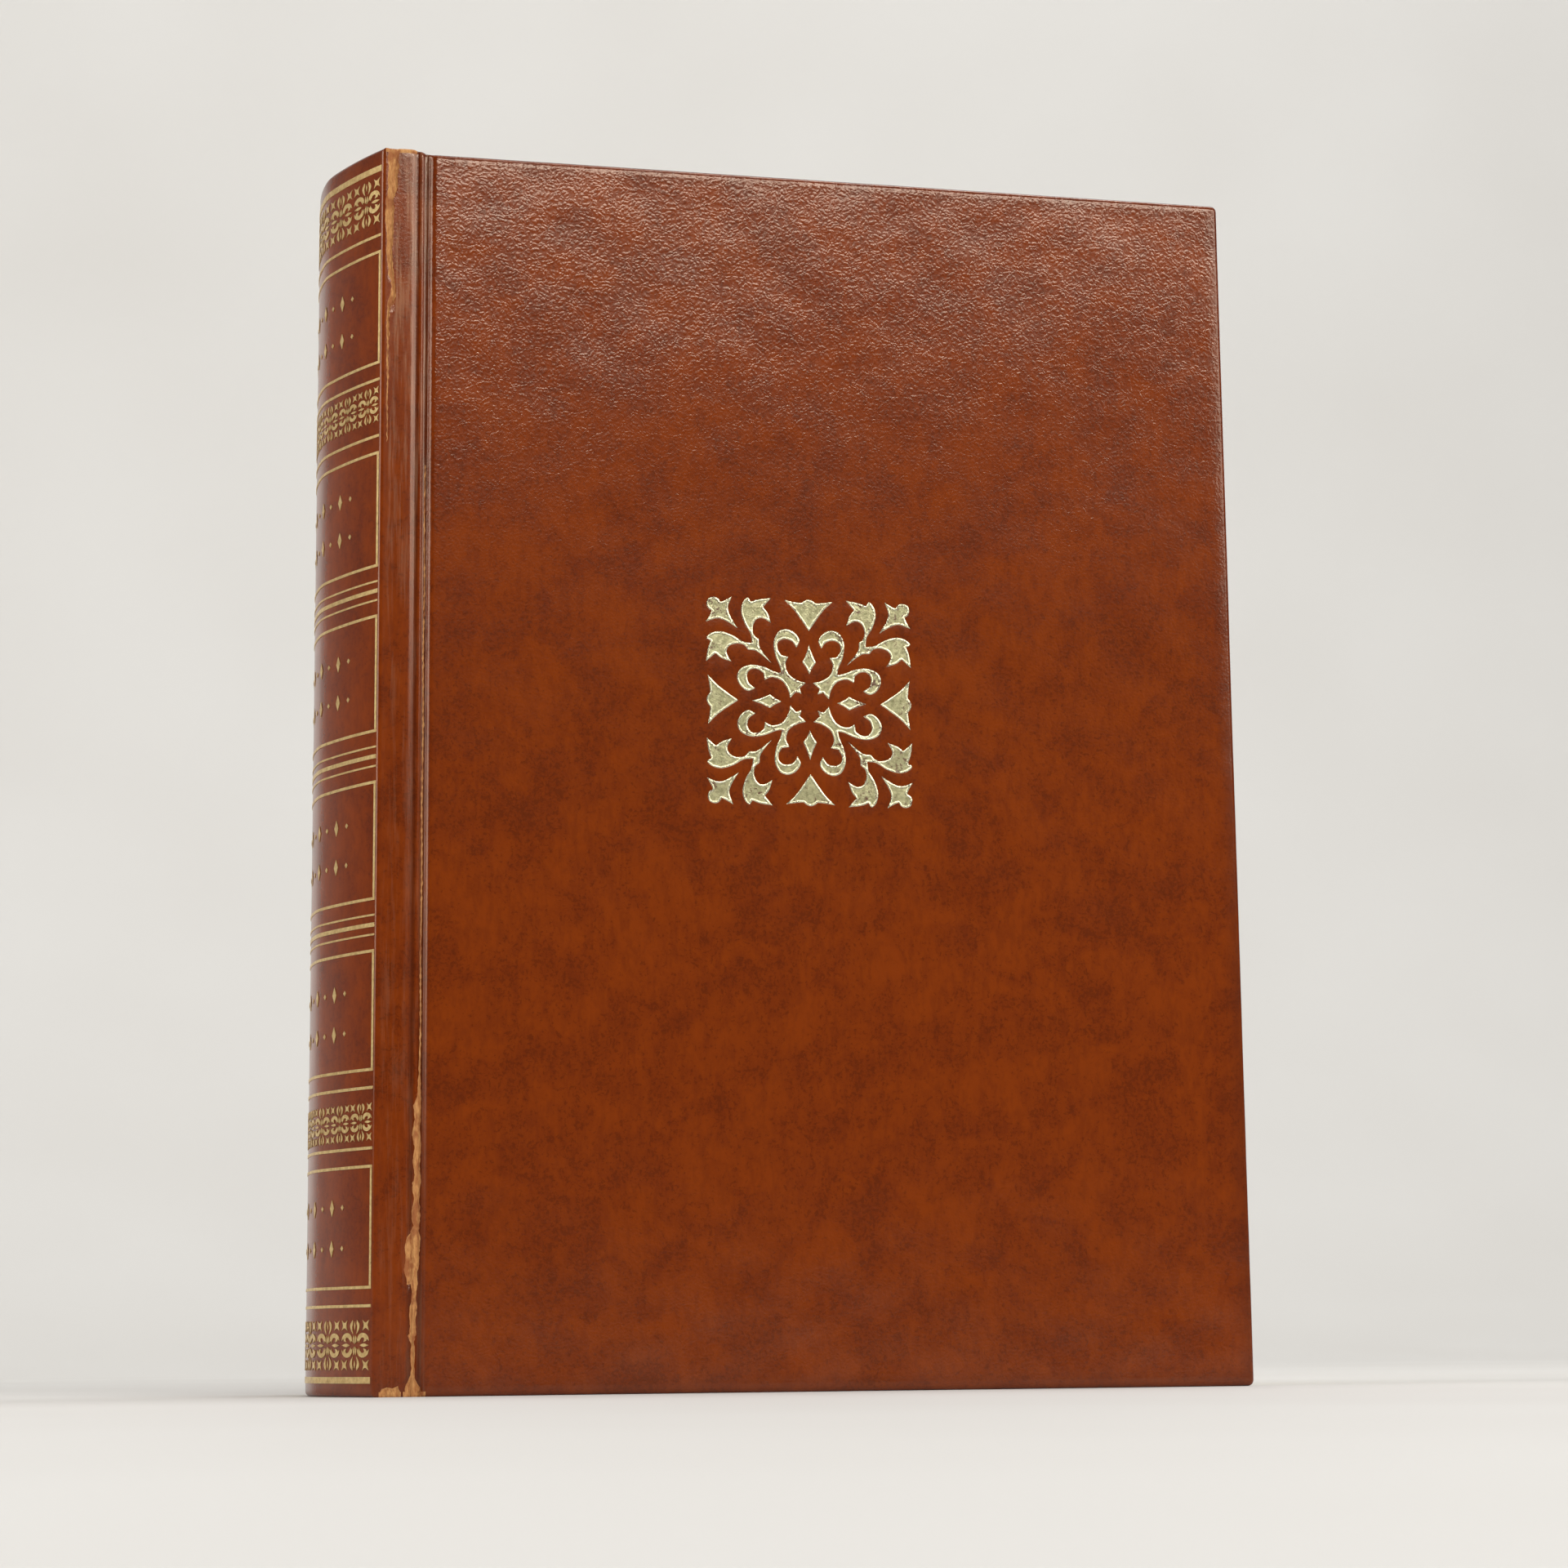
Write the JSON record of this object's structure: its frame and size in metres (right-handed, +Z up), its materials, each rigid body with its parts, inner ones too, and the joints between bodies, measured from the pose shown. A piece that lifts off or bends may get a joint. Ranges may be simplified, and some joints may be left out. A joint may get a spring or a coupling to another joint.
{
  "type": "leather-bound book",
  "caption": "Thick book bound in brown grained leather, with a rounded gilt spine, two hinged covers and a square gilt ornament on the front.",
  "frame": {"origin": "middle of the book's footprint, on the surface that it stands on", "axes": "+Z up along the spine to the head, +X from the spine to the fore-edge, +Y from the front cover to the back cover"},
  "size_m": [0.1514, 0.048, 0.2008],
  "materials": {
    "leather": "satin",
    "pages": "matte",
    "paper": "matte",
    "cloth": "matte",
    "silk": "satin",
    "board": "matte",
    "gold": "satin"
  },
  "bodies": {
    "block": {"text_block": "pages", "mull": "cloth", "spine_liner": "paper", "head_band": "silk", "tail_band": "silk", "front_flyleaf": "paper", "back_flyleaf": "paper", "spine_inlay": "board", "spine_leather": "leather", "spine_rules": "gold", "spine_frames": "gold", "spine_bands": "gold", "spine_tooling": "gold"},
    "front_cover": {"front_board": "board", "front_cover_leather": "leather", "front_pastedown": "paper", "front_mull_flange": "cloth", "cover_ornament": "gold"},
    "back_cover": {"back_board": "board", "back_cover_leather": "leather", "back_pastedown": "paper", "back_mull_flange": "cloth"}
  },
  "joints": [
    {"name": "front_hinge", "type": "hinge", "parent": "block", "child": "front_cover", "pos_m": [-0.06585, -0.0236, 0.1], "axis": [0, 0, -1], "range_deg": [0, 180]},
    {"name": "back_hinge", "type": "hinge", "parent": "block", "child": "back_cover", "pos_m": [-0.06585, 0.0236, 0.1], "axis": [0, 0, 1], "range_deg": [0, 180]}
  ]
}
